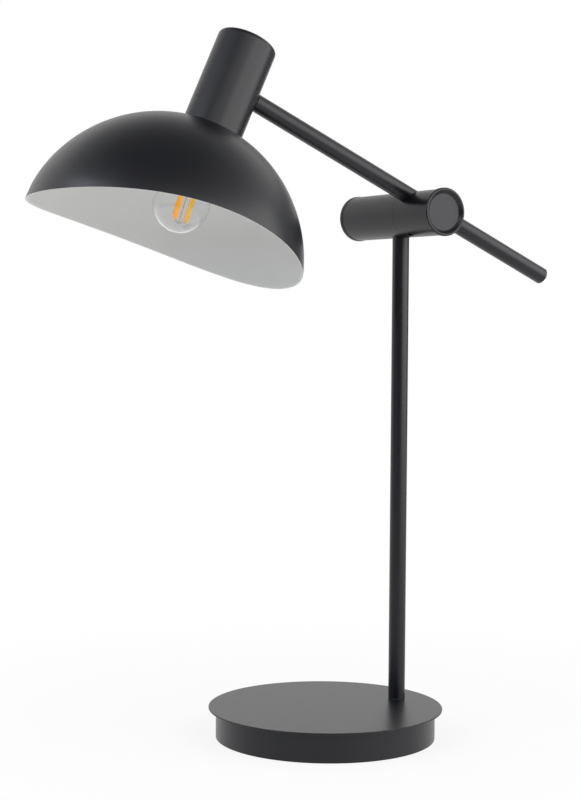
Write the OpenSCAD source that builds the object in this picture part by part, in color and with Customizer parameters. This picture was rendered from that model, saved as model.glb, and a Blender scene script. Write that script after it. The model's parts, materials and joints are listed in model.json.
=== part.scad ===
// Desk lamp with a tilting arm, a short shade cup and a half-dome shade with an arched rim.
// Millimetres, +Z up. The origin is the centre of the base, on the table.
// X runs along the arm towards its tail, and the front end of the hinge barrel faces -Y.

/* [Base] */
// Diameter of the round top plate
plate_d = 207; // [190:1:240]
// Thickness of the top plate
plate_t = 1.6; // [1.2:0.1:3]
// Radius on the edges of the top plate
plate_edge = 0.5; // [0.2:0.1:0.55]
// Overhang of the top plate past the skirt
plate_lip = 6.5; // [3:0.5:8]
// Height of the top plate's upper face above the table
base_h = 27.3; // [26:0.1:36]
// Sheet thickness of the skirt and its flange
skirt_t = 1.5; // [1:0.1:2]
// Width of the flange that the weight clamps under the plate
flange_w = 10; // [6:1:11]
// Thickness of the weight's full disc
weight_t = 8; // [6:0.5:9]
// Gap between the weight's edge and the skirt
weight_gap = 1.5; // [1:0.5:4]
// Thickness of the bottom cover
cover_t = 1; // [0.8:0.1:1.5]
// Thickness of the soft pad under the base
pad_t = 1.2; // [1.1:0.1:2]
// Width of the cover left bare round the pad
pad_inset = 4; // [2:0.5:10]
// Height of the skirt's lower edge above the table
skirt_lift = 0.5; // [0.3:0.1:0.9]

/* [Base fasteners] */
// Number of screws that hold the bottom cover
screw_count = 3; // [3:1:4]
// Diameter of the circle that those screws lie on
screw_circle_d = 140; // [130:2:150]
// Thread diameter of the cover and earth screws
screw_d = 4; // [3:0.5:5]
// Diameter of the screw heads
screw_head_d = 8; // [7:0.5:9]
// Thickness of the cover screws' heads
screw_head_t = 0.9; // [0.7:0.1:1]
// Thickness of the earth screw's head
earth_head_t = 2.4; // [1.5:0.1:3]
// Diameter of the bosses under the weight
boss_d = 11; // [9:0.5:14]
// Length of the cover screws in their bosses
screw_grip = 9; // [6:0.5:11]

/* [Cord inlet] */
// Bearing of the cord inlet round the base, from the tail side of the arm
inlet_bearing = 14; // [-20:1:30]
// Bore of the rubber grommet
inlet_bore_d = 6.2; // [5:0.2:7]
// Diameter of the hole in the skirt
inlet_hole_d = 9; // [8.4:0.2:10]
// Diameter of the grommet's flanges
inlet_flange_d = 11.6; // [11:0.2:12]
// Thickness of each grommet flange
inlet_flange_t = 1.4; // [1:0.1:2]

/* [Wiring points] */
// Depth of the terminal block, along X
block_x = 17; // [14:0.5:20]
// Height of the terminal block
block_z = 9; // [7:0.5:11]
// Number of poles in the terminal block
pole_count = 3; // [2:1:4]
// Distance between its poles
pole_pitch = 8; // [6:0.5:9]
// Diameter of its wire and screw holes
wire_hole_d = 3.2; // [2:0.1:4]
// Place of the terminal block along X
block_place_x = 20; // [0:1:30]
// Place of the terminal block along Y
block_place_y = 18; // [14:1:24]
// Distance from the middle of the base to the earth screw, towards the front
earth_place_y = 14; // [12:1:30]
// Diameter of the earth tag's ring
tag_d = 9; // [8:0.5:11]
// Thickness of the earth tag
tag_t = 0.8; // [0.5:0.1:1.2]
// Length of the earth tag's tail
tag_tail = 14; // [10:1:20]

/* [Pole] */
// Outer diameter of the pole and arm tubes
tube_d = 15; // [13:0.5:16]
// Wall of the pole and arm tubes
tube_t = 1.2; // [1:0.1:1.5]
// Distance from the centre of the base to the pole's axis
pole_offset = 73.2; // [66:0.2:76]
// Bearing of the pole round the base, from the direction of the arm
pole_bearing = -6.3; // [-10:0.1:10]
// Thickness of the gasket under the pole
gasket_t = 0.6; // [0.4:0.1:1]
// Length of the threaded plugs in the tubes
plug_l = 18; // [15:1:30]
// Depth that the nipples reach into those plugs
plug_grip = 14; // [8:0.5:14.5]
// Thread diameter of the hollow nipples
nipple_d = 10; // [9:0.5:10]
// Bore of the hollow nipples
nipple_bore_d = 7; // [6:0.2:7.4]
// Size across the flats of the nuts on the nipples
nipple_nut_af = 14; // [13:0.5:15]
// Thickness of the foot nut and the swivel nut
nipple_nut_t = 4; // [3:0.5:4.5]
// Diameter of the washer over the foot nut
foot_washer_d = 24; // [20:1:28]
// Thickness of that washer
foot_washer_t = 1.5; // [1:0.1:2]

/* [Hinge barrel] */
// Height of the hinge axis above the table
barrel_z = 463.2; // [400:1:520]
// Outer diameter of the barrel
barrel_d = 40.3; // [39:0.1:44]
// Wall of the barrel
barrel_t = 1.5; // [1.2:0.1:2]
// Distance from the pole's axis to the front end face
barrel_front = 64.4; // [58:0.2:80]
// Distance from the pole's axis to the rear end face
barrel_rear = 67; // [50:0.2:80]
// Gap between the pieces that turn against each other
turn_gap = 0.2; // [0.15:0.05:0.4]
// How far the front end cap stands proud of the barrel
front_cap_proud = 0.8; // [0.3:0.05:1.5]
// How far the rear end cap stands proud of the barrel
rear_cap_proud = 0.4; // [0.3:0.05:1.5]
// Width of the end cap rings
cap_w = 3.8; // [3.7:0.1:5]
// Radius on the outer edges of the end caps
cap_edge = 1.1; // [0.4:0.1:1.3]
// Radius on the edges of the end caps next to the barrel
cap_step_edge = 0.3; // [0.2:0.05:0.3]
// Width of the raised lip of the end caps
cap_lip = 1.9; // [1.4:0.1:2.6]
// Width of the slope from the lip to the recessed face
cap_slope = 3; // [1.5:0.1:3.4]
// Depth of the recessed face
cap_recess = 2.7; // [1.2:0.1:2.9]
// Radius between the slope and the recessed face
cap_fillet = 1.6; // [0.2:0.1:2]
// Length of the spigots that seat the caps in the barrel
spigot_l = 8; // [5:0.5:10]
// Wall of those spigots
spigot_t = 1.5; // [1:0.1:3]

/* [Hinge works] */
// Diameter of the hollow journal that the arm turns on
journal_d = 12; // [11:0.5:12.5]
// Bore of the journal
journal_bore_d = 7; // [6:0.2:8]
// Radial running clearance of the journal
journal_play = 0.03; // [0.02:0.01:0.08]
// Wall of the pole socket at the front of the pole
socket_wall = 2; // [1.5:0.1:3]
// Length of the pole socket behind the pole's axis
socket_rear = 14; // [12:0.5:20]
// Thickness of the bulkhead in the rear half
bulkhead_t = 3.7; // [3:0.1:5]
// Thickness of the friction washer between the halves
friction_t = 1; // [0.7:0.1:1.5]
// Thickness of the thrust washer behind the bulkhead
thrust_t = 0.8; // [0.5:0.1:0.9]
// Outer diameter of the washers on the journal
washer_d = 19; // [17:0.5:19.5]
// Sheet thickness of the spring washers
spring_t = 0.7; // [0.5:0.1:0.8]
// Height of the spring washers' cone
spring_rise = 0.5; // [0.3:0.1:0.6]
// Size across the flats of the journal nut
journal_nut_af = 17; // [16:0.5:18]
// Thickness of the journal nut
journal_nut_t = 4; // [3:0.5:5]
// Gap between the journal nut's corners and the pole socket
nut_clear = 0.8; // [0.5:0.1:2]
// Wall of the arm block between the seam and the arm
block_wall = 2.9; // [2:0.1:5]
// Wall of the arm block in front of the arm
block_front = 5.7; // [4:0.1:10]
// Bore for the wires from the journal into the arm
wire_way_d = 5.6; // [4.5:0.1:6]

/* [Arm] */
// Slope of the arm at rest, tail down
arm_slope = 23.4; // [0:0.1:40]
// Depth of the arm's top under the barrel's inside
arm_skin = 0.85; // [0.5:0.05:1.5]
// Distance from the hinge axis to the shade cup's axis, along the arm
shade_reach = 216.8; // [190:0.2:260]
// Distance from the hinge axis to the end of the tail, along the arm
tail_l = 154.1; // [120:0.2:200]
// Thickness of the tail plug's head
tail_plug_t = 2.2; // [1.8:0.1:4]
// Radius on the edge of the tail plug's head
tail_edge = 1.2; // [0.6:0.1:1.7]
// Length of the tail plug's spigot
tail_spigot = 10; // [6:0.5:20]
// Diameter of the grub screws
grub_d = 5; // [4:0.5:5]
// Length of the grub screw under the arm
arm_grub_l = 12; // [8:0.5:15]
// Length of the grub screw behind the pole
pole_grub_l = 6; // [4:0.5:8]

/* [Shade swivel] */
// Lean of the cup's axis from square to the arm
shade_lean = 1.3; // [0:0.1:4]
// Radial running clearance of the cup on its nipple
swivel_play = 0.03; // [0.02:0.01:0.08]
// Diameter of the saddle block inside the cup
saddle_d = 19; // [17.5:0.5:22]
// Thickness of the saddle block at its middle
saddle_t = 6.6; // [5:0.1:8]

/* [Shade cup] */
// Outer diameter of the cup
cup_d = 50.3; // [49:0.1:56]
// Wall of the cup
cup_t = 1.5; // [1.2:0.1:2]
// Height of the cup's top above the arm's axis
cup_top = 42.3; // [30:0.1:60]
// Radius on the cup's top edge
cup_edge = 3.7; // [2.2:0.1:6]

/* [Shade] */
// Outer diameter of the shade
shade_d = 231; // [200:1:260]
// Height of the shade's full dome above its widest circle
shade_h = 108; // [104:0.5:114]
// Depth of the shade's widest circle below the arm's axis
shade_depth = 147.3; // [142:0.1:152]
// Sheet thickness of the shade
shade_t = 1; // [0.8:0.1:1.4]
// Roundness of the dome towards its top
dome_p = 1.8; // [1.6:0.05:2.1]
// Roundness of the dome towards its widest circle
dome_q = 2.05; // [1.9:0.05:2.3]
// Length of the straight wall below the widest circle, before the rim is cut
shade_wall = 14; // [12:0.5:20]
// Radius of the arch that the rim is cut to
rim_arc = 430; // [380:5:600]
// Distance of the arch's crown from the shade's axis, towards the tail of the arm
rim_crown_x = 48; // [30:1:60]
// Height of the arch's crown above the widest circle
rim_crown_z = 23.5; // [20:0.5:30]
// Turn of the arch about the shade's axis
rim_turn = -5.8; // [-10:0.1:10]

/* [Lampholder] */
// Outer diameter of the lampholder
holder_d = 27.5; // [26:0.5:29]
// Depth of the lampholder's top below the arm's axis
holder_top = 22; // [21:0.5:23]
// How far the lampholder reaches past the bulb's screw cap
holder_skirt = 1.6; // [0:0.1:3]
// Thickness of the disc that carries the lampholder in the cup
disc_t = 2; // [1.5:0.1:2.5]
// Thickness of the nut over that disc
disc_nut_t = 3; // [2:0.5:3.5]
// Depth of the nipple in the lampholder
holder_grip = 8; // [6:0.5:9]
// Diameter of the ring that clamps the shade
ring_d = 49; // [40:0.5:54]
// Height of that ring
ring_h = 6; // [4:0.5:9]
// Thickness of the ceramic insert
insert_t = 5; // [3:0.5:7]
// Diameter of the centre contact
contact_stud_d = 4; // [3:0.5:6]
// Length of the centre contact, from the insert's back to the bulb
contact_stud_l = 11; // [8:0.5:14]

/* [Bulb] */
// Diameter of the bulb's ball
bulb_d = 46.4; // [44:0.1:48]
// Depth of the ball's centre below the arm's axis
bulb_depth = 107.6; // [107:0.1:110]
// Length of the whole bulb
bulb_l = 77; // [75:0.5:78]
// Diameter at which the neck's cone meets the ball
neck_cone_d = 34; // [28:0.5:38]
// Length of the straight neck inside the screw cap, and the same below it
neck_l = 2; // [1:0.5:4]
// Thickness of the glass
glass_t = 0.8; // [0.6:0.1:1]
// Diameter of the screw cap
screw_cap_d = 13.8; // [13.6:0.1:14]
// Length of the screw cap
screw_cap_l = 19; // [17:0.5:21]
// Wall of the screw cap
screw_cap_t = 0.5; // [0.3:0.1:0.6]
// Turn of the bulb about its axis
bulb_turn = 12; // [-90:1:90]
// Number of filaments
filament_count = 4; // [2:1:6]
// Diameter of the circle that their upper ends lie on
filament_top_d = 14.4; // [11:0.2:16]
// Diameter of the circle that their lower ends lie on
filament_bottom_d = 13.6; // [8:0.2:15]
// Length of each filament
filament_l = 24; // [20:0.5:28]
// Diameter of each filament
filament_d = 3.2; // [1:0.1:4]
// Diameter of the lead wires
lead_d = 0.6; // [0.4:0.1:1]
// Lean of the stem and its filaments in the neck
stem_lean = 4.6; // [0:0.2:6]
// Bearing of that lean round the bulb's axis, from the tail side of the arm
stem_lean_turn = -37; // [-180:1:180]

/* [Hidden] */
$fn = 96;
// Overrun of a cutting shape past the face that it cuts
cut = 0.2;
// Radial gap of a push fit or a plain thread
fit = 0.02;
// Radial gap of a screw in its clearance hole, and of a washer in the barrel
hole_clear = 0.2;
washer_clear = 1;
// What is left under the bottom of a blind hole
drill_floor = 2;
// Room past the tip of a screw in a blind hole
tip_clear = 1;
// Length of a nipple or journal past its nut
thread_past = 1.5;

black = [0.13, 0.13, 0.14];
dark_steel = [0.35, 0.35, 0.37];
zinc = [0.72, 0.73, 0.75];
brass = [0.80, 0.65, 0.35];
rubber = [0.10, 0.10, 0.10];
cast_iron = [0.28, 0.28, 0.29];
white_plastic = [0.90, 0.90, 0.88];
ceramic = [0.93, 0.91, 0.86];
clear_glass = [0.85, 0.90, 0.92, 0.35];
amber = [1.0, 0.62, 0.15];

// Base stations, upwards from the table
plate_r = plate_d / 2;
skirt_r = plate_r - plate_lip;
skirt_in = skirt_r - skirt_t;
plate_z = base_h - plate_t;
flange_z = plate_z - skirt_t;
weight_z = flange_z - weight_t;
weight_r = skirt_in - weight_gap;
flange_r = skirt_r - flange_w;
cover_z = pad_t + cover_t;
cover_r = skirt_in - 2 * fit;
pad_r = cover_r - pad_inset;
head_clear = 1;
inlet_z = (cover_z + weight_z) / 2;
// Room for a flat flange behind the curved skirt
inlet_sag = skirt_in - sqrt(skirt_in * skirt_in - inlet_flange_d * inlet_flange_d / 4);
inlet_back = skirt_t + inlet_sag + fit + inlet_flange_t;
block_margin = 1;
block_y = pole_count * pole_pitch + 2 * block_margin;

// Pole stations, upwards from the table
pole_x = pole_offset * cos(pole_bearing);
pole_y = pole_offset * sin(pole_bearing);
tube_r = tube_d / 2;
tube_in = tube_r - tube_t;
nipple_r = nipple_d / 2;
nipple_t = nipple_r - nipple_bore_d / 2;
pole_z = base_h + gasket_t;
foot_nut_z = weight_z - foot_washer_t - nipple_nut_t;
foot_nipple_z = foot_nut_z - thread_past;
pole_seat = journal_nut_af / 2 / cos(30) + nut_clear;
pole_top = barrel_z - pole_seat;

// Barrel stations, forwards from the pole's axis
barrel_r = barrel_d / 2;
barrel_in = barrel_r - barrel_t;
bulkhead_rear = tube_r + socket_wall;
bulkhead_front = bulkhead_rear + bulkhead_t;
seam_l = bulkhead_front + turn_gap;
front_start = seam_l + turn_gap;
block_face = bulkhead_front + friction_t + turn_gap;
arm_side = block_face + block_wall + tube_r;
block_end = arm_side + tube_r + block_front;
thrust_l = bulkhead_rear - thrust_t;
spring_h = spring_t + spring_rise;
nut_front = thrust_l - turn_gap - spring_h;
nut_rear = nut_front - journal_nut_t;
journal_end = nut_rear - thread_past;
journal_r = journal_d / 2;
// Where the slanting wire bore leaves the journal's bore, behind the block's face
wire_lead = 2;
wire_start = block_face - wire_lead;
spigot_r = barrel_in - fit;
// Steepness of the caps' slope, and how far its fillet reaches from the corner at its foot
slope_angle = atan2(cap_recess, cap_slope);
fillet_reach = cap_fillet * tan(slope_angle / 2);
fillet_steps = 6;

// Arm stations, from the hinge axis towards the tail, and height over that axis
arm_rise = barrel_in - arm_skin - tube_r;
cup_r = cup_d / 2;
cup_in = cup_r - cup_t;
arm_start = -shade_reach + cup_r / cos(shade_lean) + tube_r * tan(shade_lean) + turn_gap;
tail_tube_end = tail_l - tail_plug_t;

// Swivel stations, from the cup's axis towards the tail of the arm
saddle_face = cup_in - saddle_t;
swivel_nut_front = saddle_face - turn_gap - spring_h;
swivel_nut_rear = swivel_nut_front - nipple_nut_t;
swivel_nipple_end = swivel_nut_rear - thread_past;
swivel_nipple_l = arm_start + plug_grip + shade_reach - swivel_nipple_end;
swivel_washer_r = 8;

// Shade stations, up from its widest circle
shade_r = shade_d / 2;
seat_margin = 0.2;
seat_r = cup_r + seat_margin;
seat_z = shade_h * pow(1 - pow(seat_r / shade_r, dome_q), 1 / dome_p);
dome_steps = 40;
shade_hole_clear = 0.5;

// Cup, lampholder and bulb stations, down from the arm's axis
seat_depth = shade_depth - seat_z;
holder_r = holder_d / 2;
thread_clear = 0.15;
holder_in = screw_cap_d / 2 + thread_clear;
bulb_r = bulb_d / 2;
bulb_tip = bulb_depth + bulb_r;
contact_depth = bulb_tip - bulb_l;
contact_t = 1.4;
contact_d = 6;
insulator_t = 4;
insulator_d = 10;
cap_start = contact_depth + contact_t + insulator_t;
cap_end = cap_start + screw_cap_l;
screw_cap_in = screw_cap_d / 2 - screw_cap_t;
holder_end = cap_end + holder_skirt;
insert_top = contact_depth - contact_stud_l;
neck_r = screw_cap_in - fit;
neck_start = cap_end - neck_l;
neck_end = cap_end + neck_l;
cone_r = neck_cone_d / 2;
cone_end = bulb_depth - sqrt(bulb_r * bulb_r - cone_r * cone_r);
stem_tip_r = 1.8;
stem_gap = 1;
filament_top = bulb_depth - filament_l / 2;
filament_bottom = bulb_depth + filament_l / 2;
stem_end = filament_top - stem_gap;
lead_drop = 4;

// Places
module at_pole() translate([pole_x, pole_y, 0]) children();
module at_hinge() translate([pole_x, pole_y, barrel_z]) children();
module on_arm() at_hinge() rotate([0, arm_slope, 0]) children();
// Along the barrel: local Z runs to the front, local Y is up
module along_barrel() rotate([90, 0, 0]) children();
// Along the arm: local Z runs to the tail
module along_arm() on_arm() translate([0, -arm_side, arm_rise]) rotate([0, 90, 0]) children();
// From the cup's axis along the arm
module along_swivel() along_arm() translate([0, 0, -shade_reach]) children();
// The cup's frame: local Z is the cup's axis, pointing up out of its top
module at_head()
    on_arm() translate([-shade_reach, -arm_side, arm_rise]) rotate([0, shade_lean, 0]) children();
// The inlet's frame: local Z points out of the skirt
module at_inlet()
    rotate([0, 0, inlet_bearing]) translate([skirt_r, 0, inlet_z]) rotate([0, 90, 0]) children();
module at_earth() translate([block_place_x, -earth_place_y, 0]) children();
module at_screws()
    for (i = [0 : screw_count - 1])
        rotate([0, 0, 180 + i * 360 / screw_count]) translate([screw_circle_d / 2, 0, 0]) children();

// Shared shapes
module bored_disc(r, bore_r, h)
    difference() {
        cylinder(r = r, h = h);
        translate([0, 0, -cut]) cylinder(r = bore_r, h = h + 2 * cut);
    }

module tube(r, t, h) bored_disc(r, r - t, h);

module hex_nut(af, bore_r, h)
    difference() {
        cylinder(d = af / cos(30), h = h, $fn = 6);
        translate([0, 0, -cut]) cylinder(r = bore_r, h = h + 2 * cut);
    }

// A coned spring washer, its wide edge at the top
module cone_washer(r, bore_r)
    rotate_extrude()
        polygon([[bore_r, 0], [bore_r, spring_t], [r, spring_h], [r, spring_rise]]);

// A grub screw with a hexagon socket in its lower end
module grub_screw(length)
    difference() {
        cylinder(d = grub_d - 2 * fit, h = length);
        translate([0, 0, -cut]) cylinder(d = grub_d / 2, h = length / 3, $fn = 6);
    }

// A disc with both edges rounded
module soft_disc(r, t, edge)
    rotate_extrude() {
        square([r - edge, t]);
        translate([0, edge]) square([r, t - 2 * edge]);
        for (z = [edge, t - edge]) translate([r - edge, z]) circle(edge);
    }

// A round bar between two points
module bar(a, b, d) {
    v = b - a;
    translate(a) rotate([0, acos(v[2] / norm(v)), atan2(v[1], v[0])]) cylinder(d = d, h = norm(v));
}

// Base
module top_plate()
    color(black) difference() {
        translate([0, 0, plate_z]) soft_disc(plate_r, plate_t, plate_edge);
        at_pole() cylinder(r = nipple_r + fit, h = base_h + cut);
    }

module base_skirt()
    color(black) difference() {
        translate([0, 0, skirt_lift]) cylinder(r = skirt_r, h = plate_z - skirt_lift);
        cylinder(r = skirt_in, h = flange_z);
        cylinder(r = flange_r, h = base_h);
        at_inlet() translate([0, 0, -skirt_r]) cylinder(d = inlet_hole_d, h = 2 * skirt_r);
    }

module base_weight()
    color(cast_iron) difference() {
        union() {
            translate([0, 0, weight_z]) cylinder(r = weight_r, h = weight_t);
            translate([0, 0, weight_z]) cylinder(r = flange_r - weight_gap, h = plate_z - weight_z);
            at_screws() translate([0, 0, cover_z]) cylinder(d = boss_d, h = weight_z - cover_z + cut);
        }
        at_screws() translate([0, 0, cover_z - cut]) cylinder(d = screw_d, h = screw_grip + tip_clear + cut);
        at_earth() translate([0, 0, weight_z - cut])
            cylinder(d = screw_d, h = weight_t - drill_floor + cut);
        at_pole() cylinder(r = nipple_r + fit, h = base_h);
    }

module bottom_cover()
    color(dark_steel) difference() {
        translate([0, 0, pad_t]) cylinder(r = cover_r, h = cover_t);
        at_screws() cylinder(r = screw_d / 2 + hole_clear, h = base_h);
    }

module foot_pad()
    color(rubber) difference() {
        cylinder(r = pad_r, h = pad_t);
        at_screws() translate([0, 0, -cut])
            cylinder(r = screw_head_d / 2 + head_clear, h = pad_t + 2 * cut);
    }

module cover_screws()
    color(zinc) at_screws() difference() {
        union() {
            translate([0, 0, pad_t - screw_head_t]) cylinder(d = screw_head_d, h = screw_head_t);
            translate([0, 0, pad_t - cut]) cylinder(r = screw_d / 2 - fit, h = cover_t + screw_grip + cut);
        }
        translate([0, 0, -cut]) cylinder(d = screw_d / 2, h = pad_t + cut, $fn = 6);
    }

module inlet_grommet()
    color(rubber) at_inlet() difference() {
        union() {
            translate([0, 0, -inlet_back]) cylinder(d = inlet_flange_d, h = inlet_flange_t);
            translate([0, 0, -inlet_back])
                cylinder(r = inlet_hole_d / 2 - fit, h = inlet_back + inlet_flange_t);
            translate([0, 0, fit]) cylinder(d = inlet_flange_d, h = inlet_flange_t);
        }
        translate([0, 0, -inlet_back - cut])
            cylinder(d = inlet_bore_d, h = inlet_back + inlet_flange_t + 2 * cut);
    }

// The wire hole and the two screw holes of one pole
module block_holes() {
    translate([-block_x, 0, block_z / 2]) rotate([0, 90, 0]) cylinder(d = wire_hole_d, h = 2 * block_x);
    for (s = [-1, 1])
        translate([s * block_x / 4, 0, -cut]) cylinder(d = wire_hole_d, h = block_z / 2);
}

module terminal_block()
    color(white_plastic) translate([block_place_x, block_place_y, weight_z - block_z]) difference() {
        translate([-block_x / 2, -block_y / 2, 0]) cube([block_x, block_y, block_z]);
        for (i = [0 : pole_count - 1])
            translate([0, (i - (pole_count - 1) / 2) * pole_pitch, 0]) block_holes();
    }

module earth_tag()
    color(brass) at_earth() translate([0, 0, weight_z - tag_t]) difference() {
        union() {
            cylinder(d = tag_d, h = tag_t);
            translate([0, -tag_d / 4, 0]) cube([tag_tail, tag_d / 2, tag_t]);
        }
        translate([0, 0, -cut]) cylinder(r = screw_d / 2 + hole_clear, h = tag_t + 2 * cut);
    }

module earth_screw()
    color(brass) at_earth() {
        translate([0, 0, weight_z - tag_t - earth_head_t]) cylinder(d = screw_head_d, h = earth_head_t);
        translate([0, 0, weight_z - tag_t - cut])
            cylinder(r = screw_d / 2 - fit, h = weight_t - drill_floor);
    }

// Pole and its foot
module foot_nipple()
    color(zinc) at_pole() translate([0, 0, foot_nipple_z])
        tube(nipple_r, nipple_t, pole_z + plug_grip - foot_nipple_z);

module foot_washer()
    color(zinc) at_pole() translate([0, 0, weight_z - foot_washer_t])
        bored_disc(foot_washer_d / 2, nipple_r + fit, foot_washer_t);

module foot_nut()
    color(zinc) at_pole() translate([0, 0, foot_nut_z])
        hex_nut(nipple_nut_af, nipple_r + fit, nipple_nut_t);

module foot_plug()
    color(dark_steel) at_pole() translate([0, 0, pole_z])
        bored_disc(tube_in - fit, nipple_r + fit, plug_l);

module foot_gasket()
    color(rubber) at_pole() translate([0, 0, base_h]) bored_disc(tube_r, nipple_r + fit, gasket_t);

module pole_tube()
    color(black) at_pole() translate([0, 0, pole_z]) tube(tube_r, tube_t, pole_top - pole_z);

// Bores at the hinge for the pole and for the grub screw behind it
module pole_bore() translate([0, 0, -barrel_d]) cylinder(r = tube_r + fit, h = barrel_d);
module pole_grub_place()
    translate([0, tube_r + 2 * fit + pole_grub_l, -(pole_seat + barrel_in) / 2])
        rotate([90, 0, 0]) children();

// A slice of the barrel's inside, below the journal
module pole_socket()
    color(zinc) at_hinge() difference() {
        along_barrel() translate([0, 0, -socket_rear])
            cylinder(r = spigot_r, h = socket_rear + bulkhead_rear);
        translate([-barrel_d, -barrel_d, -pole_seat]) cube(2 * barrel_d);
        pole_bore();
        pole_grub_place() translate([0, 0, -barrel_d]) cylinder(d = grub_d, h = barrel_d + pole_grub_l);
    }

module pole_grub_screw() color(dark_steel) at_hinge() pole_grub_place() grub_screw(pole_grub_l);

// Fixed half of the hinge
module rear_barrel()
    color(black) at_hinge() difference() {
        along_barrel() translate([0, 0, cap_w - barrel_rear])
            tube(barrel_r, barrel_t, barrel_rear - cap_w + seam_l);
        pole_bore();
    }

// Outline of the fillet at the foot of a cap's slope, whose corner is at radius foot_r
function foot_fillet(foot_r) =
    [for (i = [0 : fillet_steps]) let (a = slope_angle * i / fillet_steps)
        [foot_r - fillet_reach + cap_fillet * sin(a), cap_fillet * (1 - cos(a)) - cap_recess]];

// An end cap: its rim at z = 0 faces +Z, and its spigot points down
module end_cap(proud) {
    cap_r = barrel_r + proud;
    lip_r = cap_r - cap_lip;
    rotate_extrude() difference() {
        union() {
            translate([0, -cap_w]) square([cap_r - cap_edge, cap_w]);
            translate([0, cap_step_edge - cap_w]) square([cap_r, cap_w - cap_step_edge - cap_edge]);
            translate([cap_r - cap_edge, -cap_edge]) circle(cap_edge);
            translate([0, -cap_w]) square([cap_r - cap_step_edge, cap_w - cap_edge]);
            translate([cap_r - cap_step_edge, cap_step_edge - cap_w]) circle(cap_step_edge);
            translate([0, -cap_w - spigot_l]) square([spigot_r, spigot_l + cut]);
        }
        polygon(concat([[0, -cap_recess]], foot_fillet(lip_r - cap_slope),
            [[lip_r, 0], [lip_r, cut], [0, cut]]));
        translate([0, -cap_w - spigot_l - cut]) square([spigot_r - spigot_t, spigot_l + cut]);
    }
}

module rear_cap()
    color(black) at_hinge() rotate([-90, 0, 0]) translate([0, 0, barrel_rear]) end_cap(rear_cap_proud);

module hinge_bulkhead()
    color(zinc) at_hinge() along_barrel() translate([0, 0, bulkhead_rear])
        bored_disc(spigot_r, journal_r + journal_play, bulkhead_t);

module friction_washer()
    color(rubber) at_hinge() along_barrel() translate([0, 0, bulkhead_front])
        bored_disc(barrel_in - washer_clear, journal_r + hole_clear, friction_t);

module thrust_washer()
    color(brass) at_hinge() along_barrel() translate([0, 0, thrust_l])
        bored_disc(washer_d / 2, journal_r + hole_clear, thrust_t);

// Turning half of the hinge
module arm_bore() along_arm() translate([0, 0, -barrel_d]) cylinder(r = tube_r + fit, h = 2 * barrel_d);
module arm_grub_bore()
    on_arm() translate([0, -arm_side, -barrel_d]) cylinder(d = grub_d, h = barrel_d + arm_rise);

module front_barrel()
    color(black) difference() {
        on_arm() along_barrel() translate([0, 0, front_start])
            tube(barrel_r, barrel_t, barrel_front - cap_w - front_start);
        arm_bore();
        arm_grub_bore();
    }

module front_cap()
    color(black) on_arm() along_barrel() translate([0, 0, barrel_front]) end_cap(front_cap_proud);

// The bore that takes the wires from the journal up into the arm
module wire_way()
    on_arm() along_barrel() translate([0, 0, wire_start])
        rotate([-atan2(arm_rise, arm_side - wire_start), 0, 0])
            cylinder(d = wire_way_d, h = norm([arm_rise, arm_side - wire_start]));

module arm_block()
    color(zinc) difference() {
        on_arm() along_barrel() union() {
            translate([0, 0, block_face]) cylinder(r = spigot_r, h = block_end - block_face);
            translate([0, 0, journal_end]) cylinder(r = journal_r, h = block_face - journal_end + cut);
        }
        on_arm() along_barrel() translate([0, 0, journal_end - cut])
            cylinder(d = journal_bore_d, h = block_face - journal_end + cut);
        wire_way();
        arm_bore();
        arm_grub_bore();
    }

module hinge_spring_washer()
    color(dark_steel) on_arm() along_barrel() translate([0, 0, nut_front])
        cone_washer(washer_d / 2, journal_r + fit);

module journal_nut()
    color(zinc) on_arm() along_barrel() translate([0, 0, nut_rear])
        hex_nut(journal_nut_af, journal_r + fit, journal_nut_t);

module arm_grub_screw()
    color(dark_steel) on_arm() translate([0, -arm_side, arm_rise - tube_r - 2 * fit - arm_grub_l])
        grub_screw(arm_grub_l);

// Arm
module arm_tube()
    color(black) difference() {
        along_arm() translate([0, 0, arm_start]) tube(tube_r, tube_t, tail_tube_end - arm_start);
        wire_way();
    }

module tail_plug()
    color(black) along_arm() {
        translate([0, 0, tail_tube_end]) rotate_extrude() {
            square([tube_r, tail_plug_t - tail_edge]);
            square([tube_r - tail_edge, tail_plug_t]);
            translate([tube_r - tail_edge, 0]) intersection() {
                translate([0, tail_plug_t - tail_edge]) circle(tail_edge);
                square(tail_plug_t);
            }
        }
        translate([0, 0, tail_tube_end - tail_spigot]) cylinder(r = tube_in - fit, h = tail_spigot + cut);
    }

module swivel_plug()
    color(dark_steel) along_arm() translate([0, 0, arm_start])
        bored_disc(tube_in - fit, nipple_r + fit, plug_l);

module swivel_nipple()
    color(zinc) along_swivel() translate([0, 0, swivel_nipple_end])
        tube(nipple_r, nipple_t, swivel_nipple_l);

module swivel_spring_washer()
    color(dark_steel) along_swivel() translate([0, 0, swivel_nut_front])
        cone_washer(swivel_washer_r, nipple_r + fit);

module swivel_nut()
    color(zinc) along_swivel() translate([0, 0, swivel_nut_rear])
        hex_nut(nipple_nut_af, nipple_r + fit, nipple_nut_t);

// The bore that the cup turns on, through one wall of the cup
module swivel_bore() along_swivel() cylinder(r = nipple_r + swivel_play, h = cup_d);

// Head
module shade_cup()
    color(black) difference() {
        at_head() rotate_extrude() difference() {
            union() {
                translate([0, -seat_depth]) square([cup_r, seat_depth + cup_top - cup_edge]);
                square([cup_r - cup_edge, cup_top]);
                translate([cup_r - cup_edge, cup_top - cup_edge]) circle(cup_edge);
            }
            translate([0, -seat_depth - cut]) square([cup_in, seat_depth + cut + cup_top - cup_edge]);
            square([cup_r - cup_edge, cup_top - cup_t]);
            translate([cup_r - cup_edge, cup_top - cup_edge]) circle(cup_edge - cup_t);
        }
        swivel_bore();
    }

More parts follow.
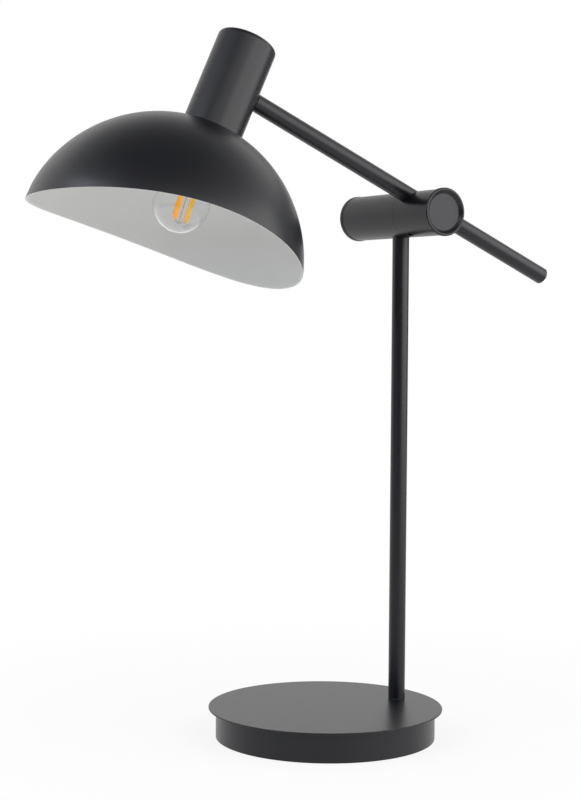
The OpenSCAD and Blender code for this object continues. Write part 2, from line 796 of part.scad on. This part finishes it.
module swivel_saddle()
    color(zinc) difference() {
        intersection() {
            along_swivel() translate([0, 0, saddle_face]) cylinder(d = saddle_d, h = cup_r);
            at_head() translate([0, 0, -saddle_d]) cylinder(r = cup_in - fit, h = 2 * saddle_d);
        }
        swivel_bore();
    }

module holder_disc()
    color(zinc) at_head() translate([0, 0, -holder_top])
        bored_disc(cup_in - fit, nipple_r + fit, disc_t);

module holder_nipple()
    color(zinc) at_head() translate([0, 0, -holder_top - holder_grip])
        tube(nipple_r, nipple_t, holder_grip + disc_t + disc_nut_t + thread_past);

module holder_nut()
    color(zinc) at_head() translate([0, 0, disc_t - holder_top])
        hex_nut(nipple_nut_af, nipple_r + fit, disc_nut_t);

module lampholder()
    color(white_plastic) at_head() difference() {
        translate([0, 0, -holder_end]) cylinder(r = holder_r, h = holder_end - holder_top);
        translate([0, 0, -holder_end - cut]) cylinder(r = holder_in, h = holder_end - insert_top + cut);
        translate([0, 0, -holder_end]) cylinder(r = nipple_r + fit, h = holder_end);
    }

module holder_insert()
    color(ceramic) at_head() translate([0, 0, -insert_top - insert_t])
        bored_disc(holder_in - fit, contact_stud_d / 2 + fit, insert_t);

module holder_contact()
    color(brass) at_head() translate([0, 0, -contact_depth])
        cylinder(d = contact_stud_d, h = contact_stud_l);

module shade_ring()
    color(white_plastic) at_head() translate([0, 0, -seat_depth - shade_t - ring_h])
        bored_disc(ring_d / 2, holder_r + fit, ring_h);

// Outline of a dome of radius r and height h, t degrees up from its widest circle
function dome_point(r, h, t) = [r * pow(cos(t), 2 / dome_q), h * pow(sin(t), 2 / dome_p)];

// The solid under the dome, shrunk by a wall, with a flat seat on top for the cup
module dome_solid(shrink) {
    r = shade_r - shrink;
    h = shade_h - shrink;
    top = seat_z - shrink;
    side = [for (i = [0 : dome_steps]) dome_point(r, h, 90 * i / dome_steps)];
    below = [for (p = side) if (p[1] < top - cut) p];
    top_r = r * pow(1 - pow(top / h, dome_p), 1 / dome_q);
    rotate_extrude() polygon(concat([[0, -shade_wall], [r, -shade_wall]], below, [[top_r, top], [0, top]]));
}

module shade()
    color(black) at_head() translate([0, 0, -shade_depth]) difference() {
        dome_solid(0);
        dome_solid(shade_t);
        cylinder(r = holder_r + shade_hole_clear, h = shade_h);
        rotate([0, 0, rim_turn]) translate([rim_crown_x, 0, rim_crown_z - rim_arc]) rotate([90, 0, 0])
            translate([0, 0, -shade_d]) cylinder(r = rim_arc, h = 2 * shade_d, $fn = 360);
    }

// The bulb's outer form less a wall, its axis on the cup's axis
module bulb_solid(shrink) {
    translate([0, 0, -bulb_depth]) sphere(r = bulb_r - shrink);
    translate([0, 0, -cone_end])
        cylinder(r1 = cone_r - shrink, r2 = neck_r - shrink, h = cone_end - neck_end);
    translate([0, 0, -neck_end]) cylinder(r = neck_r - shrink, h = neck_end - neck_start + shrink);
}

module bulb_glass()
    color(clear_glass) at_head() difference() {
        bulb_solid(0);
        bulb_solid(glass_t);
        translate([0, 0, -neck_start]) cylinder(r = neck_r, h = neck_start);
    }

module bulb_cap()
    color(zinc) at_head() translate([0, 0, -cap_end]) tube(screw_cap_d / 2, screw_cap_t, screw_cap_l);

module bulb_insulator()
    color(rubber) at_head() {
        translate([0, 0, -cap_start]) cylinder(r1 = screw_cap_in, r2 = insulator_d / 2, h = insulator_t);
        translate([0, 0, -cap_start - insulator_t]) cylinder(r = screw_cap_in - fit, h = insulator_t + cut);
    }

module bulb_contact()
    color(brass) at_head() translate([0, 0, -contact_depth - contact_t])
        cylinder(d = contact_d, h = contact_t);

// The bulb's frame, leaned about the middle of the stem's root in the neck
module at_stem()
    at_head() translate([0, 0, -neck_start]) rotate([0, 0, stem_lean_turn]) rotate([0, -stem_lean, 0])
        rotate([0, 0, -stem_lean_turn]) translate([0, 0, neck_start]) children();

module bulb_stem()
    color(clear_glass) at_stem() translate([0, 0, -stem_end])
        cylinder(r1 = stem_tip_r, r2 = neck_r - glass_t - fit, h = stem_end - neck_start);

// One place for each filament, turned to it: its upper end lies along local X
module at_filaments()
    at_stem() for (i = [0 : filament_count - 1])
        rotate([0, 0, bulb_turn + i * 360 / filament_count]) children();

filament_upper = [filament_top_d / 2, 0, -filament_top];
filament_lower = [filament_bottom_d / 2, 0, -filament_bottom];

module bulb_filaments() color(amber) at_filaments() bar(filament_upper, filament_lower, filament_d);

module bulb_leads()
    color(zinc) {
        at_filaments() {
            bar([0, 0, -stem_end], filament_upper, lead_d);
            bar([0, 0, -filament_bottom - lead_drop], filament_lower, lead_d);
        }
        at_stem() bar([0, 0, -stem_end], [0, 0, -filament_bottom - lead_drop], lead_d);
    }

top_plate();
base_skirt();
base_weight();
bottom_cover();
foot_pad();
cover_screws();
inlet_grommet();
terminal_block();
earth_tag();
earth_screw();
foot_nipple();
foot_washer();
foot_nut();
foot_plug();
foot_gasket();
pole_tube();
pole_socket();
pole_grub_screw();
rear_barrel();
rear_cap();
hinge_bulkhead();
friction_washer();
thrust_washer();
front_barrel();
front_cap();
arm_block();
hinge_spring_washer();
journal_nut();
arm_grub_screw();
arm_tube();
tail_plug();
swivel_plug();
swivel_nipple();
swivel_spring_washer();
swivel_nut();
shade_cup();
swivel_saddle();
holder_disc();
holder_nipple();
holder_nut();
lampholder();
holder_insert();
holder_contact();
shade_ring();
shade();
bulb_glass();
bulb_cap();
bulb_insulator();
bulb_contact();
bulb_stem();
bulb_filaments();
bulb_leads();
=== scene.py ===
"""Looks, light and camera for the desk lamp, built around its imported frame. Metres, +Z up."""
import json
import math

import bmesh
import bpy
from mathutils import Matrix, Vector


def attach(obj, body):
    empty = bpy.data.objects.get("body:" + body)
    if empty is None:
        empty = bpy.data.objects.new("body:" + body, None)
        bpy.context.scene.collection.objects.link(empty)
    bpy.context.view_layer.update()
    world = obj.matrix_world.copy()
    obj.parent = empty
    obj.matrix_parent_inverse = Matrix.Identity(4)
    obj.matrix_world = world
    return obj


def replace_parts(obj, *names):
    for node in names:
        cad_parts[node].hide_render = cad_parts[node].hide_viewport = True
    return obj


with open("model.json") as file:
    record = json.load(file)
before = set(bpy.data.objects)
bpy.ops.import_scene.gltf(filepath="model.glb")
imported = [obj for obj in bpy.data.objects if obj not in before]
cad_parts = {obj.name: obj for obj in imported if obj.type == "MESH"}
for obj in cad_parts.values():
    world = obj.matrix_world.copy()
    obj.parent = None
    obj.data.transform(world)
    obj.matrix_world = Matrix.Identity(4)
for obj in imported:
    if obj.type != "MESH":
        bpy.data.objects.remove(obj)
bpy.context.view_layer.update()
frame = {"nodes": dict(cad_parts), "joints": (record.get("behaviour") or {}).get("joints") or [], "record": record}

MM = 0.001

# Camera, worked out from the photograph's perspective: pixels, sensor millimetres, metres, radians
PHOTO_H = 800
FOCAL_PX = 1693.8
SENSOR = 36.0
CAMERA_BEARING = math.radians(-34.42)
CAMERA_DISTANCE = 1.4906
CAMERA_HEIGHT = 0.3640
CAMERA_YAW = -0.0219
CAMERA_PITCH = 0.0439
CAMERA_ROLL = -0.0068
CLIP_NEAR, CLIP_FAR = 0.05, 100

# Head of the lamp: the cup's slant, and the shade's dome, rim and seat
CUP_LEAN = math.radians(1.3)
CUP_R = 25.15 * MM
SHADE_R = 115.5 * MM
SHADE_H = 108 * MM
SHADE_DEPTH = 147.3 * MM
SHADE_T = 1 * MM
DOME_P = 1.8
DOME_Q = 2.05
RIM_ARC = 430 * MM
RIM_CROWN_X = 48 * MM
RIM_CROWN_Z = 23.5 * MM
RIM_TURN = math.radians(-5.8)
RIM_ROLL = 0.35 * MM
SEAT_LIP = 0.2 * MM
SEAT_R = CUP_R + SEAT_LIP
HOLE_R = 14.25 * MM

# Bulb's glass
BULB_R = 23.2 * MM
BULB_DEPTH = 107.6 * MM
BULB_NECK_R = 6.38 * MM
BULB_NECK_L = 29.4 * MM
BULB_FILLET = 10 * MM
NECK_OVERLAP = 2 * MM
GLASS_T = 0.5 * MM

# Fineness of the meshes
SHADE_COLUMNS = 288
WALL_ROWS = 56
RIM_STEPS = 6
DOME_STEPS = 400
STEP_LEAST = 0.01 * MM
BULB_COLUMNS = 128
BALL_STEPS, FILLET_STEPS = 48, 16
MERGE_DISTANCE = 1e-7
SMOOTH_ANGLE = math.radians(40)

# The head's own axes: Z runs up along the cup's axis, from the point of the shade_turn joint
joints = {j["name"]: j for j in frame["joints"]}
swivel = Vector(joints["shade_turn"]["pos_m"])
arm_dir = Vector(joints["shade_turn"]["axis"])
head_tilt = math.atan2(-arm_dir.z, arm_dir.x) + CUP_LEAN
HEAD = Matrix.Translation(swivel) @ Matrix.Rotation(head_tilt, 4, "Y")


# Node helpers

NOISE_LOW, NOISE_HIGH = 0.3, 0.7  # most of a noise's values lie between these


def material(name):
    """A new material, its node tree and its Principled shader."""
    made = bpy.data.materials.new(name)
    made.use_nodes = True
    tree = made.node_tree
    return made, tree, tree.nodes["Principled BSDF"]


def connect(tree, target, inputs):
    """Gives a node its inputs, by name or index: a value, or a socket to link."""
    for key, value in inputs.items():
        if isinstance(value, bpy.types.NodeSocket):
            tree.links.new(value, target.inputs[key])
        else:
            target.inputs[key].default_value = value


def node(tree, kind, inputs=None, **settings):
    """A new node with its settings and inputs."""
    made = tree.nodes.new(kind)
    for key, value in settings.items():
        setattr(made, key, value)
    connect(tree, made, inputs or {})
    return made


def object_point(tree):
    """The point in the piece's own coordinates, so that a pattern moves with the piece."""
    return node(tree, "ShaderNodeTexCoord").outputs["Object"]


def noise(tree, scale, detail, roughness=0.5):
    """Noise on the piece's own coordinates; scale is in repeats per metre."""
    inputs = {"Vector": object_point(tree), "Scale": scale,
              "Detail": detail, "Roughness": roughness}
    return node(tree, "ShaderNodeTexNoise", inputs).outputs["Fac"]


def mapped(tree, value, low, high, to_low=0.0, to_high=1.0):
    """A value held within low to high and mapped to the range from to_low to to_high."""
    ranges = {"From Min": low, "From Max": high, "To Min": to_low, "To Max": to_high}
    return node(tree, "ShaderNodeMapRange", {"Value": value, **ranges}).outputs["Result"]


def drift(tree, value, middle, reach):
    """A noise spread over what lies within reach of a middle value."""
    return mapped(tree, value, NOISE_LOW, NOISE_HIGH, middle - reach, middle + reach)


def blend_colour(tree, value, first, second):
    """A colour between two, by a value."""
    ramp = node(tree, "ShaderNodeValToRGB", {0: value})
    low, high = ramp.color_ramp.elements
    low.color, high.color = (*first, 1), (*second, 1)
    return ramp.outputs["Color"]


def bump(tree, height, strength, depth):
    """A surface relief from a height of 0 to 1; depth is in metres."""
    inputs = {"Height": height, "Strength": strength, "Distance": depth}
    return node(tree, "ShaderNodeBump", inputs).outputs["Normal"]


def mix_shaders(tree, share, first, second):
    """Two shader nodes, mixed by the second one's share."""
    inputs = {0: share, 1: first.outputs[0], 2: second.outputs[0]}
    return node(tree, "ShaderNodeMixShader", inputs)


def set_surface(tree, shader):
    """Makes a shader node the material's surface."""
    tree.links.new(shader.outputs[0], tree.nodes["Material Output"].inputs["Surface"])


# Materials

# The filaments' coating drifts from deep orange to amber across the bulb
STRIP_ACROSS = Vector((math.cos(CAMERA_BEARING), math.sin(CAMERA_BEARING), 0))
STRIP_MID = (HEAD @ Vector((0, 0, -BULB_DEPTH))).dot(STRIP_ACROSS)
STRIP_DRIFT = 5 * MM


def powder_coat(name, dark, light, rough, ior):
    """Satin powder coat: a fine orange peel, and a slight drift in tone and gloss."""
    made, tree, shader = material(name)
    gloss = noise(tree, scale=900, detail=2)
    peel = noise(tree, scale=2200, detail=2)
    connect(tree, shader, {
        "IOR": ior,
        "Base Color": blend_colour(tree, noise(tree, scale=35, detail=3), dark, light),
        "Roughness": drift(tree, gloss, rough, reach=0.02),
        "Normal": bump(tree, peel, strength=0.12, depth=0.05 * MM),
    })
    return made


def plated(name, dark, light, rough, grain):
    """Bare or plated metal with fine machining grain."""
    made, tree, shader = material(name)
    marks = noise(tree, scale=grain, detail=4)
    connect(tree, shader, {
        "Base Color": blend_colour(tree, noise(tree, scale=60, detail=4), dark, light),
        "Metallic": 1.0,
        "Roughness": drift(tree, marks, rough, reach=0.08),
        "Normal": bump(tree, marks, strength=0.1, depth=0.03 * MM),
    })
    return made


def moulded(name, dark, light, rough, relief):
    """Moulded plastic, rubber or glaze, with a faint surface relief."""
    made, tree, shader = material(name)
    skin = noise(tree, scale=1500, detail=2)
    connect(tree, shader, {
        "Base Color": blend_colour(tree, noise(tree, scale=50, detail=3), dark, light),
        "Roughness": drift(tree, skin, rough, reach=0.03),
        "Normal": bump(tree, skin, strength=relief, depth=0.05 * MM),
    })
    return made


def cast_iron():
    """Rough grey casting."""
    made, tree, shader = material("cast_iron")
    lumps = noise(tree, scale=700, detail=5, roughness=0.7)
    connect(tree, shader, {
        "Base Color": blend_colour(tree, lumps, (0.05, 0.05, 0.052), (0.13, 0.13, 0.135)),
        "Metallic": 0.6,
        "Roughness": drift(tree, lumps, 0.7, reach=0.1),
        "Normal": bump(tree, lumps, strength=0.5, depth=0.3 * MM),
    })
    return made


def clear_glass():
    """Clear, faintly wavy glass that casts no shadow on what it covers."""
    made, tree, shader = material("clear_glass")
    waves = noise(tree, scale=40, detail=1)
    connect(tree, shader, {
        "Base Color": (0.985, 0.99, 0.99, 1),
        "Roughness": 0.0,
        "IOR": 1.42,
        "Transmission Weight": 1.0,
        "Normal": bump(tree, waves, strength=0.05, depth=0.4 * MM),
    })
    clear = node(tree, "ShaderNodeBsdfTransparent")
    shadow = node(tree, "ShaderNodeLightPath").outputs["Is Shadow Ray"]
    set_surface(tree, mix_shaders(tree, shadow, shader, clear))
    return made


def phosphor():
    """Orange coating of the filaments, a little uneven, with a faint painted glow that brightens them although the
    bulb is off.
    """
    made, tree, shader = material("phosphor")
    grain = noise(tree, scale=1800, detail=3)
    place = {0: object_point(tree), 1: STRIP_ACROSS}
    across = node(tree, "ShaderNodeVectorMath", place, operation="DOT_PRODUCT").outputs["Value"]
    tones = {
        "Factor": mapped(tree, across, STRIP_MID - STRIP_DRIFT, STRIP_MID + STRIP_DRIFT),
        "A": blend_colour(tree, grain, (0.95, 0.33, 0.003), (1.0, 0.40, 0.01)),
        "B": blend_colour(tree, grain, (0.74, 0.40, 0.03), (0.82, 0.47, 0.05)),
    }
    colour = node(tree, "ShaderNodeMix", tones, data_type="RGBA").outputs["Result"]
    connect(tree, shader, {
        "Base Color": colour,
        # Painted glow: this emission is not lamp light from the unlit filaments, it only makes their coating look
        # brighter
        "Emission Color": colour,
        "Emission Strength": 0.5,
        "Roughness": 0.5,
        "Normal": bump(tree, grain, strength=0.3, depth=0.1 * MM),
    })
    return made


BLACK = powder_coat("black_coat", (0.0022, 0.0026, 0.0050), (0.0032, 0.0036, 0.0062), 0.34, 1.45)
ENAMEL = powder_coat("white_enamel", (0.74, 0.74, 0.71), (0.77, 0.77, 0.74), 0.5, 1.5)
LEAD_WIRE = plated("lead_wire", (0.46, 0.47, 0.36), (0.58, 0.59, 0.46), 0.30, 900)
MATERIALS = {
    "satin_black": BLACK,
    "shade_enamel": BLACK,
    "zinc": plated("zinc_plate", (0.60, 0.61, 0.63), (0.70, 0.71, 0.73), 0.34, 900),
    "dark_steel": plated("dark_steel", (0.16, 0.16, 0.17), (0.24, 0.24, 0.25), 0.42, 700),
    "brass": plated("brass", (0.66, 0.48, 0.20), (0.76, 0.58, 0.28), 0.30, 900),
    "iron": cast_iron(),
    "rubber": moulded("rubber", (0.020, 0.020, 0.020), (0.032, 0.032, 0.032), 0.75, 0.4),
    "white_plastic": moulded("white_plastic", (0.80, 0.80, 0.78), (0.84, 0.84, 0.82), 0.42, 0.15),
    "ceramic": moulded("ceramic", (0.82, 0.79, 0.74), (0.88, 0.86, 0.81), 0.20, 0.2),
    "glass": clear_glass(),
    "filament": phosphor(),
}

node_slot = {s["node"]: s["material_slot"] for s in frame["record"]["subparts"]}
for name, piece in frame["nodes"].items():
    for holder in piece.material_slots:
        holder.material = LEAD_WIRE if name == "bulb_leads" else MATERIALS[node_slot[name]]


# Mesh helpers

def linked(name, data):
    """A new object in the scene."""
    made = bpy.data.objects.new(name, data)
    bpy.context.scene.collection.objects.link(made)
    return made


def mesh_object(name, mesh, materials):
    """A new object in the scene from a finished bmesh and its materials."""
    data = bpy.data.meshes.new(name)
    mesh.to_mesh(data)
    mesh.free()
    for entry in materials:
        data.materials.append(entry)
    return linked(name, data)


def resample(points, count):
    """count points spaced evenly along a line of (r, z) points."""
    lengths = [0.0]
    for a, b in zip(points, points[1:]):
        lengths.append(lengths[-1] + math.dist(a, b))
    made, i = [], 0
    for k in range(count):
        at = lengths[-1] * k / (count - 1)
        while i < len(points) - 2 and lengths[i + 1] < at:
            i += 1
        share = (at - lengths[i]) / (lengths[i + 1] - lengths[i])
        made.append(tuple(a + (b - a) * share for a, b in zip(points[i], points[i + 1])))
    return made


def turned(name, rows_at, count, place, materials, closed=False):
    """A surface turned round local Z.

    rows_at(angle) gives a list of (r, z, material index) for each of count angles.
    """
    mesh = bmesh.new()
    columns, indices = [], []
    for k in range(count):
        angle = math.tau * k / count
        rows = rows_at(angle)
        indices = [row[2] for row in rows]
        around = [Vector((r * math.cos(angle), r * math.sin(angle), z)) for r, z, _ in rows]
        columns.append([mesh.verts.new(place @ point) for point in around])
    steps = len(indices) if closed else len(indices) - 1
    for k in range(count):
        a, b = columns[k], columns[(k + 1) % count]
        for i in range(steps):
            j = (i + 1) % len(indices)
            face = mesh.faces.new((a[i], a[j], b[j], b[i]))
            face.material_index = indices[i]
            face.smooth = True
    bmesh.ops.remove_doubles(mesh, verts=mesh.verts, dist=MERGE_DISTANCE)
    bmesh.ops.recalc_face_normals(mesh, faces=mesh.faces)
    made = mesh_object(name, mesh, materials)
    made.data.set_sharp_from_angle(angle=SMOOTH_ANGLE)
    return made


# Shade: a spun dome of thin sheet with an arched, rounded rim

def dome_point(r, h, angle):
    """A point (radius, height) of the dome, at an angle up from its widest circle."""
    return r * math.cos(angle) ** (2 / DOME_Q), h * math.sin(angle) ** (2 / DOME_P)


def rim_height(r, angle):
    """Height of the rim's arch over the widest circle."""
    x = r * math.cos(angle - RIM_TURN)
    return RIM_CROWN_Z - RIM_ARC + math.sqrt(RIM_ARC ** 2 - (x - RIM_CROWN_X) ** 2)


def dome_line(shrink, angle, count):
    """The dome's outline from its seat down to its rim, at one angle round it."""
    r, h = SHADE_R - shrink, SHADE_H - shrink
    seat_z = SHADE_H * (1 - (SEAT_R / SHADE_R) ** DOME_Q) ** (1 / DOME_P) - shrink
    top_r = r * (1 - (seat_z / h) ** DOME_P) ** (1 / DOME_Q)
    points = [(top_r, seat_z)]
    for k in range(DOME_STEPS, -1, -1):
        point = dome_point(r, h, math.pi / 2 * k / DOME_STEPS)
        if point[1] < seat_z - STEP_LEAST:
            if point[1] < rim_height(point[0], angle):
                break
            points.append(point)
    last = points[-1]
    end_r = r if rim_height(r, angle) < 0 else last[0]
    points.append((end_r, rim_height(end_r, angle)))
    return resample(points, count)


def shade_rows(angle):
    """Rows of the shade's closed section, in black (0) and enamel (1).

    They run down the black outside, round the white rim, and back up the white inside.
    """
    outside = dome_line(0, angle, WALL_ROWS)
    inside = dome_line(SHADE_T, angle, WALL_ROWS)
    rows = [(HOLE_R, outside[0][1], 0)] + [(r, z, 0) for r, z in outside]
    (r0, z0), (r1, z1) = outside[-1], inside[-1]
    for k in range(1, RIM_STEPS):
        share = k / RIM_STEPS
        drop = RIM_ROLL * math.sin(math.pi * share)
        rows.append((r0 + (r1 - r0) * share, z0 + (z1 - z0) * share - drop, 1))
    rows += [(r, z, 1) for r, z in reversed(inside)]
    rows.append((HOLE_R, inside[0][1], 0))
    return rows


SHADE_PLACE = HEAD @ Matrix.Translation((0, 0, -SHADE_DEPTH))
shade = turned("shade_shell", shade_rows, SHADE_COLUMNS, SHADE_PLACE, [BLACK, ENAMEL],
               closed=True)
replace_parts(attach(shade, "head"), "shade")


# Bulb's glass: a thin ball with a filleted neck

def bulb_line(shrink):
    """Outline of the glass from the bottom of the ball to the top of the neck, less a wall."""
    ball, neck, fillet = BULB_R - shrink, BULB_NECK_R - shrink, BULB_FILLET + shrink
    fillet_r = neck + fillet
    fillet_z = math.sqrt((ball + fillet) ** 2 - fillet_r ** 2)
    meet = math.atan2(fillet_r, fillet_z)
    points = []
    for k in range(BALL_STEPS + 1):
        angle = math.pi - (math.pi - meet) * k / BALL_STEPS
        points.append((max(ball * math.sin(angle), 0), ball * math.cos(angle)))
    for k in range(1, FILLET_STEPS + 1):
        angle = meet + (math.pi / 2 - meet) * k / FILLET_STEPS
        r, z = fillet_r - fillet * math.sin(angle), fillet_z - fillet * math.cos(angle)
        points.append((r, z))
    points.append((neck, BULB_NECK_L + NECK_OVERLAP))
    return points


def bulb_rows(_):
    """Rows of the glass's section: up the outside and back down the inside."""
    return [(r, z, 0) for r, z in bulb_line(0) + bulb_line(GLASS_T)[::-1]]


BULB_PLACE = HEAD @ Matrix.Translation((0, 0, -BULB_DEPTH))
glass = turned("bulb_globe", bulb_rows, BULB_COLUMNS, BULB_PLACE, [MATERIALS["glass"]])
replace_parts(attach(glass, "head"), "bulb_glass")


# Floor, light and camera

# Floor: half its side in metres, its tone as it lights the object, and the share of what is seen
# of it that is lit, and so keeps the shadow: all of it up to the near distance, none past the far
FLOOR_HALF = 40
FLOOR_WHITE = 0.95
FLOOR_SHADOW = 0.15
SHADOW_NEAR, SHADOW_FAR = 0.2, 0.6

# Surround: elevation in degrees and brightness, and how much of that is its light
SKY_LEVELS = [(0, 1.0), (36, 1.0), (44, 0.6), (56, 0.5), (64, 0.27)]
SKY_LIT = 0.8

# Soft boxes: what they face, how far away they stand, and then for each its name, its turn and
# rise as outward() takes them, its width and height, its radiance and its tint
LAMP_AIM = Vector((-0.02, -0.02, 0.32))
LAMP_DISTANCE = 1.6
SOFTBOXES = [
    ("right_softbox", 73, 14, 2.4, 1.25, 1.95, (1, 1, 1)),
    ("left_softbox", -58, 26, 1.2, 0.85, 3.4, (0.93, 0.97, 1.12)),
    ("front_softbox", 18, 33, 2.0, 0.4, 1.5, (1, 1, 1)),
]

# Cards: distance, height and steps, how much lighter their light spots are than the dark ones,
# and then for each its name, the turns between which it stands, and its tone
CARD_DISTANCE, CARD_HEIGHT, CARD_STEPS = 2.3, 1.4, 24
CARD_DRIFT = 1.2
CARDS = [
    ("dark_card", -88, 24, 0.005),
    ("grey_card", 108, 156, 0.35),
]


def outward(turn, rise=0):
    """The direction (x, y, z) at a turn round from the camera's side and a rise, in degrees."""
    bearing, rise = CAMERA_BEARING + math.radians(turn), math.radians(rise)
    flat = math.cos(rise)
    return math.sin(bearing) * flat, -math.cos(bearing) * flat, math.sin(rise)


def seen(tree):
    """1 for the rays that show the background: camera, glossy and transmission rays."""
    path = node(tree, "ShaderNodeLightPath").outputs
    found = path["Is Camera Ray"]
    for ray in ("Is Glossy Ray", "Is Transmission Ray"):
        inputs = {0: found, 1: path[ray]}
        found = node(tree, "ShaderNodeMath", inputs, operation="MAXIMUM").outputs[0]
    return found


def stage_white():
    """Pale floor: white to the camera and in reflections, with the object's shadow on it."""
    made, tree, shader = material("stage_white")
    tree.nodes.remove(shader)
    centre = {0: object_point(tree)}
    away = node(tree, "ShaderNodeVectorMath", centre, operation="LENGTH").outputs["Value"]
    share = mapped(tree, away, SHADOW_NEAR, SHADOW_FAR, FLOOR_SHADOW, 0.0)
    glow = node(tree, "ShaderNodeEmission", {"Color": (1, 1, 1, 1), "Strength": 1.0})
    lit = node(tree, "ShaderNodeBsdfDiffuse", {"Color": (1, 1, 1, 1)})
    plain = node(tree, "ShaderNodeBsdfDiffuse", {"Color": (*[FLOOR_WHITE] * 3, 1)})
    shown = mix_shaders(tree, share, glow, lit)
    set_surface(tree, mix_shaders(tree, seen(tree), plain, shown))
    return made


def floor():
    """A wide plain floor at the lamp's foot."""
    mesh = bmesh.new()
    bmesh.ops.create_grid(mesh, x_segments=4, y_segments=4, size=FLOOR_HALF)
    made = mesh_object("floor", mesh, [stage_white()])


def sky():
    """A white surround, dimmer overhead."""
    world = bpy.data.worlds.new("surround")
    bpy.context.scene.world = world
    world.use_nodes = True
    tree = world.node_tree
    direction = node(tree, "ShaderNodeTexCoord").outputs["Generated"]
    rise = node(tree, "ShaderNodeSeparateXYZ", {0: direction}).outputs["Z"]
    ramp = node(tree, "ShaderNodeValToRGB", {0: rise})
    stops = ramp.color_ramp.elements
    for place, (angle, level) in enumerate(SKY_LEVELS):
        height = math.sin(math.radians(angle))
        stop = stops[place] if place < len(stops) else stops.new(height)
        stop.position = height
        stop.color = (level, level, level, 1)
    connect(tree, tree.nodes["Background"], {
        "Color": ramp.outputs["Color"],
        "Strength": mapped(tree, seen(tree), 0.0, 1.0, SKY_LIT, 1.0),
    })


def card(name, start, end, tone):
    """A curved matt card that the coat reflects and the camera doesn't see."""
    mesh = bmesh.new()
    pairs = []
    for k in range(CARD_STEPS + 1):
        x, y, _ = outward(start + (end - start) * k / CARD_STEPS)
        foot = CARD_DISTANCE * x, CARD_DISTANCE * y
        pairs.append([mesh.verts.new((*foot, z)) for z in (0.0, CARD_HEIGHT)])
    for a, b in zip(pairs, pairs[1:]):
        mesh.faces.new((a[0], a[1], b[1], b[0]))
    matt = moulded(name, [tone] * 3, [tone * CARD_DRIFT] * 3, rough=0.9, relief=0.2)
    made = mesh_object(name, mesh, [matt])
    made.visible_camera = False


def softbox(name, turn, rise, width, height, radiance, tint):
    """An area lamp that faces the object."""
    away = Vector(outward(turn, rise))
    lamp = bpy.data.lights.new(name, "AREA")
    lamp.shape = "RECTANGLE"
    lamp.size, lamp.size_y = width, height
    lamp.energy = radiance * math.pi * width * height
    lamp.color = tint
    made = linked(name, lamp)
    made.location = LAMP_AIM + away * LAMP_DISTANCE
    made.rotation_mode = "QUATERNION"
    made.rotation_quaternion = away.to_track_quat("Z", "Y")


def camera():
    """The photograph's camera."""
    data = bpy.data.cameras.new("camera")
    data.sensor_fit = "VERTICAL"
    data.sensor_height = SENSOR
    data.sensor_width = SENSOR
    data.lens = FOCAL_PX / PHOTO_H * SENSOR
    data.clip_start, data.clip_end = CLIP_NEAR, CLIP_FAR
    made = linked("camera", data)
    turn = Matrix.Rotation(CAMERA_BEARING, 3, "Z")
    ahead = turn @ Vector((math.sin(CAMERA_YAW) * math.cos(CAMERA_PITCH),
                           math.cos(CAMERA_YAW) * math.cos(CAMERA_PITCH),
                           -math.sin(CAMERA_PITCH)))
    right = turn @ Vector((math.cos(CAMERA_YAW), -math.sin(CAMERA_YAW), 0))
    down = ahead.cross(right)
    level = Matrix((right, -down, -ahead)).transposed()
    roll = Matrix.Rotation(-CAMERA_ROLL, 3, "Z")
    made.rotation_mode = "QUATERNION"
    made.rotation_quaternion = (level @ roll).to_quaternion()
    made.location = turn @ Vector((0, -CAMERA_DISTANCE, CAMERA_HEIGHT))
    bpy.context.scene.camera = made


floor()
sky()
for entry in CARDS:
    card(*entry)
for entry in SOFTBOXES:
    softbox(*entry)
camera()
bpy.context.scene.view_settings.view_transform = "Standard"
